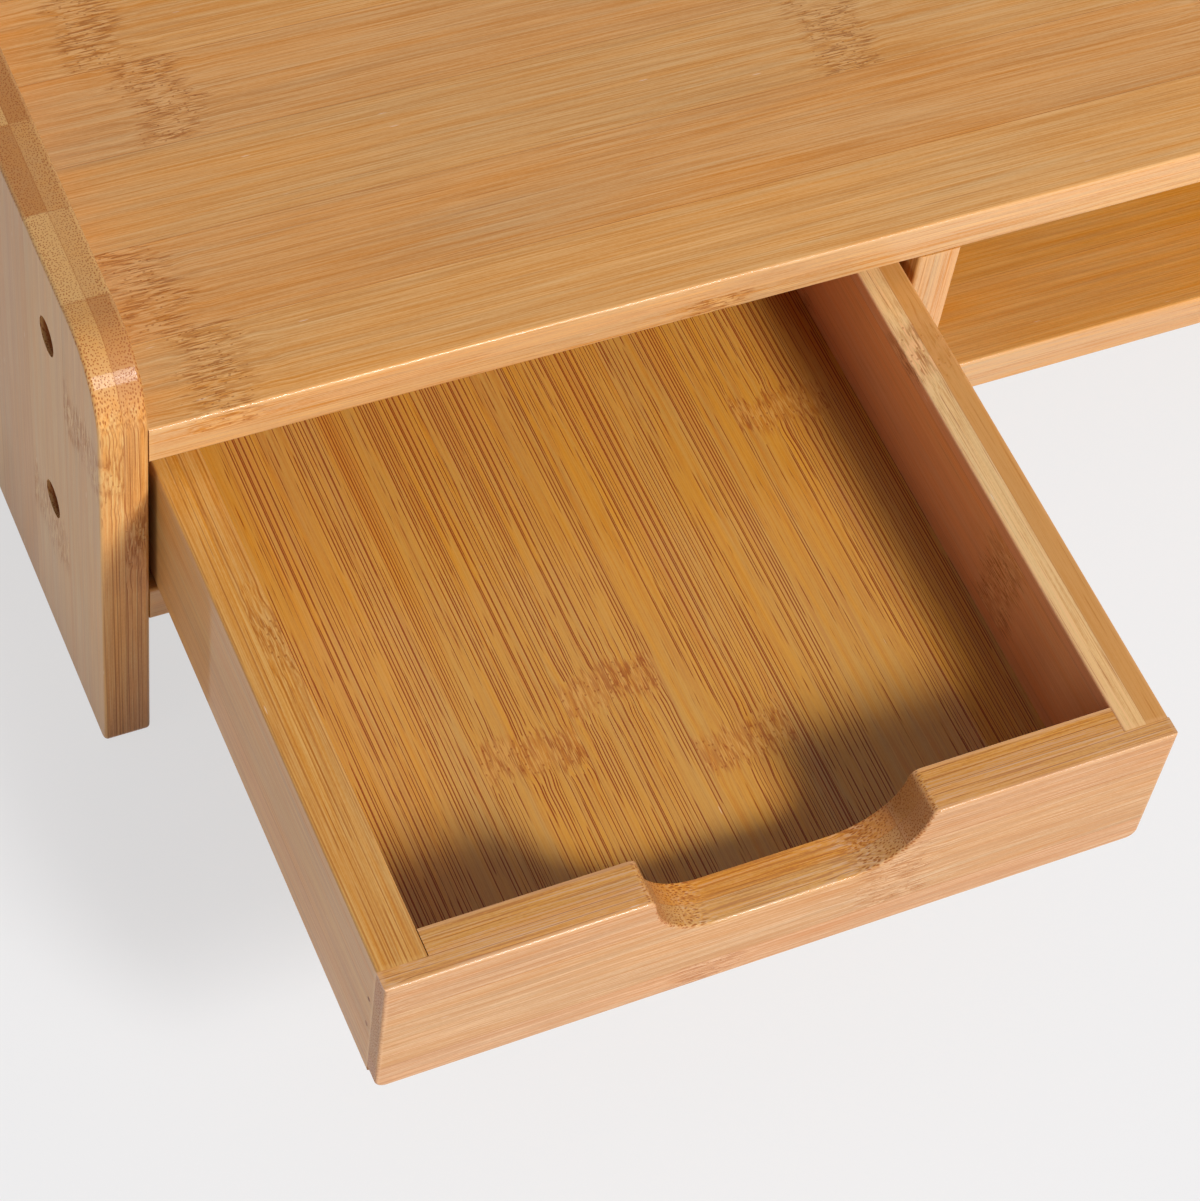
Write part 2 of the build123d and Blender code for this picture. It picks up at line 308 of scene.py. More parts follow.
    def cells(self, place: Value, dimensions: str = "2D", disorder: float = 1.0) -> tuple[Wire, Wire]:
        """Scatter points about 1 apart and read the nearest.

        Args:
            place: Where to read, a number in one dimension and a vector in more.
            dimensions: How many dimensions the points fill.
            disorder: 0 for an even grid of points and 1 for the most scattered one.

        Returns:
            Distance to the nearest point, and that point's random number.
        """
        node = self.node("ShaderNodeTexVoronoi", voronoi_dimensions=dimensions)
        self.link(node.inputs["W" if dimensions == "1D" else "Vector"], place)
        distance = self.feed(node, Scale=1.0, Randomness=disorder)
        return distance, self.split(Wire(self, node.outputs["Color"]))[0]

    def place_effect(self, effect: Effect, shared: SimpleNamespace, **own: Value) -> SimpleNamespace:
        """Put a shared effect into this tree.

        Args:
            effect: The effect.
            shared: Sources for those of its inputs that have the same names.
            **own: Sources for its other inputs, and in place of shared ones.

        Returns:
            Its outputs by name.
        """
        node = self.node("ShaderNodeGroup", node_tree=effect.tree)
        self.match(node, vars(shared) | own)
        return SimpleNamespace(**{socket.name: Wire(self, socket) for socket in node.outputs})


class Effect:
    """A shader node group with named inputs and outputs, built once and used in many materials."""

    KINDS = {float: "NodeSocketFloat", Vector: "NodeSocketVector", tuple: "NodeSocketColor"}

    def __init__(self, name: str, **inputs: Value) -> None:
        """Make the group with its inputs.

        Args:
            name: Name of the group.
            **inputs: Default value of each input; its type gives the socket's type.
        """
        self.tree = bpy.data.node_groups.new(name, "ShaderNodeTree")
        new = self.tree.interface.new_socket
        for label, default in inputs.items():
            new(name=label, in_out="INPUT", socket_type=self.KINDS[type(default)]).default_value = default
        self.graph = Graph(self.tree)
        sockets = self.graph.node("NodeGroupInput").outputs
        self.taken = SimpleNamespace(**{label: Wire(self.graph, sockets[label]) for label in inputs})

    def give(self, **results: Wire) -> Effect:
        """Add the outputs and wire them.

        Args:
            **results: What each output gives; its type gives the socket's type.

        Returns:
            The finished effect.
        """
        new = self.tree.interface.new_socket
        for label, result in results.items():
            new(name=label, in_out="OUTPUT", socket_type=result.socket.bl_idname)
        self.graph.match(self.graph.node("NodeGroupOutput"), results)
        return self


def board_place_effect() -> Effect:
    """Build the effect that turns a point of the object into a place on its board.

    Returns:
        The effect. Place is (along the grain, across it, through the board) in millimetres from
        the board's middle. End grain is 1 where the surface cuts straight across the grain, cut
        grain already where it leans into it, and edge grain is 1 on the board's long edges.
    """
    effect = Effect(
        "board place", point=ZERO, normal=ZERO, middle=ZERO, along=ZERO, across=ZERO, through=ZERO
    )
    graph, taken = effect.graph, effect.taken
    offset = graph.vector("SUBTRACT", taken.point, taken.middle)
    ways = (taken.along, taken.across, taken.through)
    to_end = abs(graph.dot(taken.normal, taken.along))
    to_edge = abs(graph.dot(taken.normal, taken.across))
    return effect.give(
        place=graph.join(*(graph.dot(offset, way) * MM_PER_M for way in ways)),
        end_grain=graph.step(to_end, 0.25, 0.75),
        cut_grain=graph.step(to_end, 0.05, 0.3),
        edge_grain=graph.step(to_edge, 0.55, 0.9),
    )


def strip_effect() -> Effect:
    """Build the effect that divides a board into glued strips of bamboo.

    Returns:
        The effect. It gives each strip three random numbers, upper is 1 in the upper ply, and
        glue line masks the joints between strips and between the two plies.
    """
    effect = Effect(
        "glued strips",
        place=ZERO, strip_width=27.0, strip_shift=0.0, two_plies=1.0, ply_line=1.0, seed=0.0,
    )
    graph, taken = effect.graph, effect.taken
    along, across, through = graph.split(taken.place)
    strips = (across - taken.strip_shift) / taken.strip_width
    number = graph.math("FLOOR", strips)
    upper = graph.math("GREATER_THAN", through, 0.0)
    dice = graph.node("ShaderNodeTexWhiteNoise", noise_dimensions="3D")
    graph.feed(dice, Vector=graph.join(number, upper * taken.two_plies, taken.seed))
    tone, warmth, chance = graph.split(Wire(graph, dice.outputs["Color"]))
    off_centre = abs(graph.math("FRACT", strips) - 0.5)
    to_joint = (0.5 - off_centre) * taken.strip_width
    uneven = graph.noise(graph.join(along * 0.03, number)) * 0.2
    joint = graph.fall(to_joint, 0.02, uneven + 0.06)
    ply_joint = graph.fall(abs(through), 0.03, 0.2) * (taken.two_plies * taken.ply_line)
    return effect.give(
        upper=upper, tone=tone, warmth=warmth, chance=chance, glue_line=graph.most(joint, ply_joint)
    )


def knuckle_effect() -> Effect:
    """Build the effect of the knuckles, the bands where a bamboo stem was divided.

    Returns:
        The effect. Band is the knuckle itself and halo the disturbed grain round it. Dark and
        light are the short torn dashes in it, bundle by bundle, and pits are its small holes.
        Bent place is the place with the fibres bent.
    """
    effect = Effect("knuckles", place=ZERO, knuckle_place=0.0, knuckle_width=8.5, chance=0.5)
    graph, taken = effect.graph, effect.taken
    along, across, through = graph.split(taken.place)
    width = taken.knuckle_width
    chance = taken.chance * 40.0
    side = across + through * BUNDLE_SLANT
    _, bundle = graph.cells(side * 2.1 + chance, "1D")

    def patch(per_along: float, per_side: float, detail: float) -> Wire:
        """Read noise with this many features in a millimetre along and across the fibres."""
        return graph.noise(graph.join(along * per_along, side * per_side, chance), detail)

    sway = (patch(0.0, 0.11, 2.0) - 0.5) * 11.0
    torn = (bundle - 0.5) * (width * 0.6)
    shifted = along - taken.knuckle_place + (sway + torn)
    half = KNUCKLE_SPACING / 2
    share = abs(graph.math("WRAP", shifted, half, -half)) / width
    band = graph.fall(share, 0.65, 1.15)
    halo = graph.fall(share, 0.5, 3.2)
    front = graph.step(share, 0.3, 0.7) * graph.fall(share, 0.85, 1.2)

    run = along * 0.22 + bundle * 31.0
    dashes = graph.noise(graph.join(run, side * 1.5, chance), 1.0) + front * 0.045
    clump = graph.step(patch(0.09, 0.2, 1.0), 0.36, 0.58, 0.35, 1.0)
    spots, kind = graph.cells(graph.join(along * 0.6, side * 0.8))
    pit = graph.fall(spots, 0.12, 0.26) * graph.math("GREATER_THAN", kind, 0.72)
    bend = (patch(0.1, 0.22, 1.0) - 0.5) * 2.2
    return effect.give(
        band=band,
        halo=halo,
        dark=graph.step(dashes, 0.535, 0.6) * (band * clump),
        light=graph.step(dashes, 0.47, 0.4) * band,
        pits=pit * band,
        bent_place=graph.join(along, across + bend * halo, through),
    )


def fibre_effect() -> Effect:
    """Build the effect of bamboo's fibres.

    Returns:
        The effect. Grain is soft and about 0.5 on average, broad is its widest part and warmth
        its drift between rosy and yellow. Lines are the thin dark bundles on a face along the
        grain, the pale rims beside them are a painted highlight on the grooves' edges, and dots
        the same bundles cut across.
    """
    effect = Effect(
        "bamboo fibres",
        place=ZERO, chance=0.5, halo=0.0, line_spacing=2.0, line_width=0.3, line_share=0.5, gathering=0.5,
    )
    graph, taken = effect.graph, effect.taken
    along, across, through = graph.split(taken.place)
    chance = taken.chance * 90.0
    drift = graph.noise(graph.join(along * 0.006, across * 0.04, chance), 2.0)
    row = across + (drift - 0.5) * 2.0 + chance

    def streaks(per_along: float, per_row: float, detail: float, weight: Value) -> Wire:
        """Read noise drawn out along the fibres, 0 on average, with a weight."""
        place = graph.join(along * per_along, row * per_row, through * per_row)
        return (graph.noise(place, detail, 0.6) - 0.5) * weight

    broad = streaks(0.0035, 0.1, 2.0, 1.0)
    grain = broad * 0.55 + streaks(0.009, 0.9, 3.0, 0.9) + streaks(0.035, 3.2, 2.0, 1.35)
    grain = grain + streaks(0.9, 2.6, 1.0, 0.3) + streaks(0.13, 1.5, 1.0, taken.halo)
    warmth = streaks(0.012, 0.5, 3.0, 1.0) + streaks(0.01, 0.07, 1.0, 0.8)

    side = row + through * BUNDLE_SLANT
    apart, bundle = graph.cells(side / taken.line_spacing, "1D")
    own = bundle * 63.0
    life = graph.noise(graph.join(along * 0.045, own), 2.5)
    rarity = 0.74 - taken.line_share * 0.45 - broad * taken.gathering
    gap = taken.halo * 0.56
    whole = graph.step(graph.noise(graph.join(along * 0.15, own), 1.0), gap - 0.06, gap)
    present = graph.step(life, rarity, rarity + 0.12) * whole
    reach = taken.line_width * 0.5 / taken.line_spacing * (bundle * 0.9 + 0.55)
    line = graph.fall(apart, reach * 0.25, reach * 1.25)
    # Painted highlight: a pale rim beside each line, standing in for light caught by the groove's edge.
    rim = graph.step(apart, reach, reach * 1.8) * graph.fall(apart, reach * 1.9, reach * 2.9)

    to_dot, _ = graph.cells(graph.join(row * 1.5, through * 1.5), "2D", 0.8)
    outward = abs(through) * 0.018
    return effect.give(
        grain=grain + 0.5,
        broad=broad + 0.5,
        warmth=warmth,
        lines=line * present,
        flanks=rim * present,
        dots=graph.fall(to_dot, outward + 0.08, outward + 0.28),
    )


def edge_effect() -> Effect:
    """Build the effect that finds a board's rubbed edges and the holes bored in its faces.

    Returns:
        The effect. Edge is 1 on the board's edges and 0 from reach millimetres inside them; the edges it
        masks are paled for real rubbing and for a painted highlight on their roundings.
        Bored is 1 inside a hole that lies well away from the board's edges, and masks the painted shade in
        the holes.
    """
    effect = Effect("rubbed edges", place=ZERO, half_size=ZERO, reach=1.5)
    graph, taken = effect.graph, effect.taken
    well_inside = 22.0
    inside = graph.vector("SUBTRACT", taken.half_size, graph.vector("ABSOLUTE", taken.place))
    x, y, z = graph.split(inside)
    second = x + y + z - graph.least(x, y, z) - graph.most(x, y, z)
    rub = graph.noise(graph.stretch(taken.place, 0.09, 0.09, 0.09), 3.0)
    reach = taken.reach * (rub + 0.4)
    bored = graph.step(graph.least(x, y), well_inside, well_inside + 1.0) * graph.step(z, 0.2, 1.4)
    return effect.give(edge=graph.fall(second, reach * 0.3, reach), bored=bored)


def lacquer_effect() -> Effect:
    """Build the effect of satin lacquer over the grain.

    Returns:
        The effect. Roughness and height follow the grain, and scratches are rare hair-fine pale
        marks along it.
    """
    effect = Effect(
        "satin lacquer", place=ZERO, satin=0.5, grain=0.5, grooves=0.0, rubbed=0.0, end_grain=0.0
    )
    graph, taken = effect.graph, effect.taken
    flow = graph.noise(graph.stretch(taken.place, 0.02, 0.06, 0.06), 3.0)
    peel = graph.noise(graph.stretch(taken.place, 0.5, 0.9, 0.9), 1.0)
    to_mark, kind = graph.cells(graph.stretch(taken.place, 0.03, 0.3, 0.3), "3D")
    rough = taken.satin + (flow - 0.5) * 0.22 + taken.grooves * 0.12
    return effect.give(
        roughness=rough + taken.end_grain * 0.08 - taken.rubbed * 0.06,
        height=peel * 0.2 + taken.grain * 0.3 - taken.grooves,
        scratches=graph.fall(to_mark, 0.02, 0.05) * graph.math("GREATER_THAN", kind, 0.5),
    )


@dataclass(frozen=True)
class BambooFinish:
    """Colours and grain of one kind of bamboo board. Colours are linear, lengths millimetres."""

    body: Colour
    pale: Colour
    deep: Colour
    line: Colour
    edge: Colour = (0.66, 0.37, 0.165)
    edge_share: float = 1.0
    edge_lines: float = 0.0
    ply_line: float = 0.25
    line_spacing: float = 2.0
    line_width: float = 0.34
    line_share: float = 0.42
    line_strength: float = 0.25
    gathering: float = 0.6
    streak_strength: float = 0.8
    warmth_strength: float = 1.0
    strip_spread: float = 0.35
    dot_strength: float = 0.85
    # Paling of the board's edges: partly real rubbing, partly a painted highlight on the rounded lacquer.
    wear_and_highlight: float = 0.25
    side_tones: float = 1.0
    # Painted shade: how strongly the walls of bored holes are darkened.
    painted_hole_shade: float = 0.0
    knuckle_strength: float = 0.9
    knuckle_width: float = 8.5
    satin: float = 0.5

    def inputs(self) -> dict[str, Value]:
        """Give every field as the source of the board effect's input of the same name."""
        inputs = asdict(self)
        return inputs | {name: (*value, 1.0) for name, value in inputs.items() if isinstance(value, tuple)}


HONEY = BambooFinish(
    body=(0.60, 0.288, 0.082),
    pale=(0.69, 0.385, 0.145),
    deep=(0.50, 0.19, 0.025),
    line=(0.27, 0.068, 0.006),
    edge=(0.55, 0.325, 0.16),
)
# Lower board's finish, with painted shade: body, pale and deep are darker and more saturated than HONEY's,
# standing in for the shade and warm bounce light under the top shelf.
PAINTED_SHADE_HONEY = replace(
    HONEY,
    edge=(0.52, 0.31, 0.155),
    body=(0.51, 0.235, 0.048),
    pale=(0.60, 0.31, 0.085),
    deep=(0.42, 0.155, 0.018),
    streak_strength=0.6,
)
PANEL_HONEY = replace(
    HONEY,
    body=(0.535, 0.265, 0.075),
    pale=(0.66, 0.40, 0.145),
    deep=(0.40, 0.16, 0.036),
    line=(0.27, 0.06, 0.005),
    edge=(0.64, 0.285, 0.072),
    edge_lines=0.95,
    ply_line=0.9,
    streak_strength=0.3,
    dot_strength=0.8,
    strip_spread=0.15,
    side_tones=0.3,
    painted_hole_shade=0.85,
    line_strength=0.1,
    line_spacing=1.0,
    line_width=0.21,
)
FRONT_HONEY = replace(
    HONEY,
    body=(0.46, 0.226, 0.08),
    pale=(0.60, 0.35, 0.18),
    deep=(0.40, 0.15, 0.03),
    edge=(0.65, 0.295, 0.038),
    edge_lines=0.3,
    ply_line=0.6,
    line_spacing=1.5,
    line_width=0.28,
    line_share=0.55,
    line_strength=0.36,
    streak_strength=1.1,
    gathering=0.9,
    wear_and_highlight=0.4,
    knuckle_strength=1.0,
)
WALL_HONEY = replace(
    HONEY,
    body=(0.56, 0.265, 0.075),
    pale=(0.66, 0.37, 0.11),
    deep=(0.40, 0.135, 0.018),
    edge=(0.57, 0.25, 0.035),
    edge_lines=0.55,
    ply_line=0.6,
    streak_strength=0.5,
)
# Right drawer wall's finish: the cream edge colour is the inner ply's own top. The redder, paler body is
# painted bounce light, standing in for the warm light that the golden drawer floor throws on the wall's
# shaded inner face.
CREAM_TOPPED_WALL_PAINTED_BOUNCE = replace(
    WALL_HONEY,
    body=(0.70, 0.285, 0.11),
    pale=(0.78, 0.42, 0.18),
    deep=(0.47, 0.20, 0.04),
    edge=(0.70, 0.47, 0.185),
    streak_strength=0.3,
)
GOLDEN_FLOOR = BambooFinish(
    body=(0.56, 0.268, 0.043),
    pale=(0.635, 0.325, 0.075),
    deep=(0.42, 0.118, 0.02),
    line=(0.24, 0.036, 0.006),
    line_spacing=0.86,
    line_width=0.31,
    line_share=0.78,
    line_strength=0.94,
    gathering=1.3,
    streak_strength=0.4,
    warmth_strength=0.9,
    strip_spread=0.12,
    knuckle_width=5.5,
)


def bamboo_effect() -> Effect:
    """Build the whole look of a bamboo board from the smaller effects.

    Returns:
        The effect, with the board's colour, roughness and height, and with gloss, which is 1 where
        the lacquer lies smooth and less over grooves.
    """
    effect = Effect(
        "bamboo board",
        place=ZERO, end_grain=0.0, cut_grain=0.0, edge_grain=0.0, half_size=ZERO,
        strip_width=27.0, strip_shift=0.0, two_plies=1.0, seed=0.0,
        knuckle_place=0.0, knuckle_scatter=1.0, other_ply_knuckles=60.0,
        upper_ply=0.0, own_tone=0.0,
        **HONEY.inputs(),
    )
    graph, taken = effect.graph, effect.taken
    strip = graph.place_effect(strip_effect(), taken)
    scattered = strip.chance * KNUCKLE_SPACING * taken.knuckle_scatter
    other_ply = (1.0 - strip.upper) * taken.other_ply_knuckles
    knuckle_place = taken.knuckle_place + scattered + other_ply
    knuckle = graph.place_effect(
        knuckle_effect(), taken, knuckle_place=knuckle_place, chance=strip.chance
    )
    more_lines = taken.edge_grain * taken.edge_lines
    fibre = graph.place_effect(
        fibre_effect(),
        taken,
        place=knuckle.bent_place,
        chance=strip.tone,
        halo=knuckle.halo * taken.knuckle_strength,
        line_share=taken.line_share + more_lines * 0.5,
    )
    outline = graph.place_effect(edge_effect(), taken)

    end = taken.end_grain
    streaky = (taken.streak_strength + more_lines * 0.6) * (1.0 - end * 0.6)
    knotty = taken.knuckle_strength * (1.0 - end)
    clear = (1.0 - taken.cut_grain) * (1.0 - knuckle.band * 0.6)
    line_strength = (taken.line_strength + more_lines * 0.6) * clear
    lines = fibre.lines * line_strength
    dots = fibre.dots * (taken.cut_grain * taken.dot_strength)
    dark_dashes = knuckle.dark * knotty
    pits = knuckle.pits * knotty
    own_tone = taken.own_tone * graph.most(end, taken.side_tones)
    tilt = (strip.upper * 2.0 - 1.0) * taken.upper_ply + own_tone

    def cover(colour: Wire, *layers: tuple[Wire, float, Value]) -> Wire:
        """Lay colours over one another.

        Args:
            colour: Colour under them.
            *layers: Mask, strength and colour of each layer.

        Returns:
            The colour.
        """
        for mask, strength, over in layers:
            colour = graph.mix(mask * strength, colour, over)
        return colour

    colour = cover(
        taken.body,
        (taken.edge_grain * taken.edge_share, 0.85, taken.edge),
        (graph.step(fibre.grain, 0.44, 0.86) * streaky, 1.0, taken.pale),
        (graph.step(fibre.grain, 0.56, 0.14) * streaky, 1.0, taken.deep),
    )
    warm = fibre.warmth * taken.warmth_strength
    rosy = Vector((0.13, -0.04, -0.08))
    darkest = Vector((0.002, 0.002, 0.002))
    colour = graph.vector("MULTIPLY_ADD", graph.join(warm, warm, warm), rosy, colour)
    colour = cover(
        graph.vector("MAXIMUM", colour, darkest),
        (graph.step(fibre.broad, 0.5, 0.72) * line_strength, 0.45, taken.deep),
        # Painted highlight on the rims beside the grain lines.
        (fibre.flanks * line_strength, 0.3, taken.pale),
        (lines, 1.0, taken.line),
        (knuckle.band * knotty, 0.3, taken.deep),
        (knuckle.light * knotty, 0.75, taken.pale),
        (dark_dashes, 0.62, taken.line),
        (pits, 0.5, taken.line),
        (end, 0.45, taken.deep),
        (graph.most(tilt, 0.0), 0.75, taken.pale),
        (graph.most(-tilt, 0.0), 0.75, taken.deep),
        (dots, 0.95, taken.line),
        (strip.glue_line, 0.45, taken.line),
        # Painted shade inside the bored holes: their walls are darkened with the line colour.
        (outline.bored * taken.painted_hole_shade, 1.0, taken.line),
    )
    spread = taken.strip_spread * (end * 0.5 + 1.0)
    colour = graph.use(
        "ShaderNodeHueSaturation",
        Hue=(strip.warmth - 0.5) * (spread * 0.012) + 0.5,
        Saturation=(strip.chance - 0.5) * (spread * -0.12) + 1.0,
        Value=(strip.tone - 0.5) * (spread * 0.3) + 1.0,
        Color=colour,
    )
    grooves = graph.most(lines, dark_dashes * 0.8, pits, dots * 0.7, strip.glue_line * 0.5)
    film = graph.place_effect(
        lacquer_effect(), taken, grain=fibre.grain, grooves=grooves, rubbed=outline.edge
    )
    scratch = (0.85, 0.76, 0.66, 1.0)
    return effect.give(
        colour=cover(
            # Edges paled: partly real rubbing, partly a painted highlight on their rounded lacquer.
            colour, (outline.edge * taken.wear_and_highlight, 1.0, taken.pale), (film.scratches, 0.35, scratch)
        ),
        roughness=film.roughness,
        height=film.height,
        gloss=1.0 - grooves * 0.9,
    )


def new_material(name: str) -> tuple[bpy.types.Material, Graph]:
    """Start a material.

    Args:
        name: Name of the material.

    Returns:
        The material and its empty graph.
    """
    material = bpy.data.materials.new(name)
    material.use_nodes = True
    return material, Graph(material.node_tree)


def add_object(name: str, data: bpy.types.ID) -> bpy.types.Object:
    """Add an object to the scene.

    Args:
        name: Name of the object.
        data: Its mesh, light or camera.

    Returns:
        The object.
    """
    thing = bpy.data.objects.new(name, data)
    bpy.context.scene.collection.objects.link(thing)
    return thing


@dataclass(frozen=True)
class Board:
    """One bamboo board of the frame, with the way its grain runs. Lengths are millimetres.

    Knuckles are the places of each strip's knuckle along the grain in the frame, from the strip
    at the board's low edge upwards, and knuckle shift is added to each. Tones make each strip
    paler (up to 1) or deeper (down to -1), as pairs of the ply on the high side and the one on
    the low side. A board that lists none has them at random.
    """

    node: str
    grain: Axis
    through: Axis
    finish: BambooFinish
    seed: float
    strip_width: float = 27.5
    joint_from_edge: float = 13.0
    two_plies: bool = True
    knuckles: tuple[float, ...] = ()
    tones: tuple[tuple[float, float], ...] = ()
    knuckle_shift: float = 0.0
    other_ply_knuckles: float = 60.0
    upper_ply: float = 0.0

    @property
    def ways(self) -> tuple[Axis, Axis, Axis]:
        """The axes along the grain, across it and through the board."""
        across = next(axis for axis in Axis if axis not in (self.grain, self.through))
        return self.grain, across, self.through

    def dress(self, look: BambooLook) -> None:
        """Give the board's CAD node its material."""
        dress_plainly(self.node, look.material(self))


def by_strip(graph: Graph, strips: Wire, values: Sequence[float], reach: float) -> Wire:
    """Read each strip's own value from a stepped ramp over the board's width.

    Args:
        graph: The material's graph.
        strips: How many strips the place lies from the board's low edge.
        values: The strips' values, from the low edge upwards.
        reach: Largest difference that the ramp has to hold.

    Returns:
        The value of the strip at the place.
    """
    ramp = graph.node("ShaderNodeValToRGB")
    ramp.color_ramp.interpolation = "CONSTANT"
    elements = ramp.color_ramp.elements
    while len(elements) < len(values):
        elements.new(1.0)
    for number, value in enumerate(values):
        shade = value / reach + 0.5
        elements[number].position = number / len(values)
        elements[number].color = (shade, shade, shade, 1.0)
    return (graph.feed(ramp, strips / float(len(values))) - 0.5) * reach


@dataclass
class BambooLook:
    """The shared effects of every bamboo board, and its lacquer. Lengths are millimetres."""

    coat: float = 0.26
    coat_roughness: float = 0.05
    gloss: float = 0.22
    groove_depth: float = 0.12
    bump_strength: float = 0.6
    knuckle_reach: float = 1000.0
    tone_reach: float = 2.0

    def __post_init__(self) -> None:
        """Build the effects once."""
        self.board_place = board_place_effect()
        self.bamboo = bamboo_effect()

    def own_strips(
        self, graph: Graph, board: Board, middle: Vector, low_joint: float, place: Wire
    ) -> dict[str, Value]:
        """Work out what a board sets for each strip by itself.

        Args:
            graph: The material's graph.
            board: The board.
            middle: Middle of its box, in metres.
            low_joint: Where its lowest strip begins, in millimetres from the middle.
            place: The place on the board.

        Returns:
            Sources of the board effect's inputs.
        """
        _, across, through = graph.split(place)
        strips = (across - low_joint) / board.strip_width
        own = {}
        if board.knuckles:
            centre = middle[board.grain.number] * MM_PER_M
            places = [board.knuckle_shift + knuckle - centre for knuckle in board.knuckles]
            own["knuckle_place"] = by_strip(graph, strips, places, self.knuckle_reach)
            own["knuckle_scatter"] = 0.0
        if board.tones:
            high, low = (by_strip(graph, strips, tones, self.tone_reach) for tones in zip(*board.tones))
            own["own_tone"] = low + graph.math("GREATER_THAN", through, 0.0) * (high - low)
        return own

    def material(self, board: Board) -> bpy.types.Material:
        """Make one board's material.

        Args:
            board: The board.

        Returns:
            The material.
        """
        low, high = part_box(board.node)
        middle = (low + high) / 2
        size = (high - low) * MM_PER_M
        half = Vector([size[way.number] / 2 for way in board.ways])
        first_joint = board.joint_from_edge - half.y
        material, graph = new_material(board.node + " bamboo")
        along, across, through = (Vector(way.value) for way in board.ways)
        placed = graph.place_effect(
            self.board_place,
            SimpleNamespace(middle=middle, along=along, across=across, through=through),
            point=graph.read("ShaderNodeTexCoord", "Object"),
            normal=graph.read("ShaderNodeTexCoord", "Normal"),
        )
        own = self.own_strips(graph, board, middle, first_joint - board.strip_width, placed.place)
        sources = vars(board) | board.finish.inputs() | own
        look = graph.place_effect(self.bamboo, placed, half_size=half, strip_shift=first_joint, **sources)
        depth = self.groove_depth / MM_PER_M
        bump = graph.use("ShaderNodeBump", Strength=self.bump_strength, Distance=depth, Height=look.height)
        surface = graph.use(
            "ShaderNodeBsdfPrincipled",
            Base_Color=look.colour,
            Roughness=look.roughness,
            Normal=bump,
            Specular_IOR_Level=self.gloss,
            Coat_Weight=look.gloss * self.coat,
            Coat_Roughness=self.coat_roughness,
        )
        graph.end("ShaderNodeOutputMaterial", surface)
        return material


@dataclass(frozen=True)
class SteelFinish:
    """Plated or rusted steel of small fasteners. Colours are linear, lengths millimetres."""

    name: str
    bright: Colour
    dull: Colour
    roughness: float
    metallic: float = 1.0
    mark_depth: float = 0.05

    def material(self) -> bpy.types.Material:
        """Make the material.

        Returns:
            The material, with plating clouds, tool marks and dull spots.
        """
        material, graph = new_material(self.name)
        place = graph.stretch(graph.read("ShaderNodeTexCoord", "Object"), MM_PER_M, MM_PER_M, MM_PER_M)
        clouds = graph.noise(graph.stretch(place, 0.6, 0.6, 0.6), 4.0, 0.6)
        marks = graph.noise(graph.stretch(place, 0.8, 9.0, 9.0), 2.0)
        colour = graph.mix(graph.step(clouds, 0.4, 0.65), (*self.bright, 1.0), (*self.dull, 1.0))
        depth = self.mark_depth / MM_PER_M
        surface = graph.use(
            "ShaderNodeBsdfPrincipled",
            Base_Color=colour,
            Metallic=self.metallic,
            Roughness=clouds * 0.25 + (self.roughness - 0.12),
            Normal=graph.use("ShaderNodeBump", Strength=0.4, Distance=depth, Height=marks),
        )
        graph.end("ShaderNodeOutputMaterial", surface)
        return material


@dataclass(frozen=True)
class BeechFinish:
    """Plain beech of the glued dowels. Colours are linear."""

    body: Colour = (0.60, 0.38, 0.21)
    fleck: Colour = (0.38, 0.19, 0.08)

    def material(self) -> bpy.types.Material:
        """Make the material.

        Returns:
            The material, with upright grain and short flecks.
        """
        material, graph = new_material("beech")
        spot = graph.read("ShaderNodeTexCoord", "Object")
        grain = graph.noise(graph.stretch(spot, 900.0, 900.0, 40.0), 3.0)
        flecks = graph.noise(graph.stretch(spot, 2600.0, 2600.0, 500.0), 1.0)
        fleck = (*self.fleck, 1.0)
        colour = graph.mix(graph.step(grain, 0.4, 0.7), (*self.body, 1.0), fleck)
        colour = graph.mix(graph.step(flecks, 0.6, 0.7, 0.0, 0.6), colour, fleck)
        rough = graph.step(grain, 0.3, 0.7, 0.55, 0.7)
        surface = graph.use("ShaderNodeBsdfPrincipled", Base_Color=colour, Roughness=rough)
        graph.end("ShaderNodeOutputMaterial", surface)
        return material


@dataclass(frozen=True)
class ScrewShape:
    """Sizes of one kind of hex-socket wood screw, in millimetres."""

    length: float
    head_radius: float
    head_height: float
    under_radius: float
    socket_width: float
    socket_depth: float
    chamfer: float = 0.35
    shank_radius: float = 2.0
    thread_depth: float = 0.45
    thread_pitch: float = 1.8
    point: float = 4.0


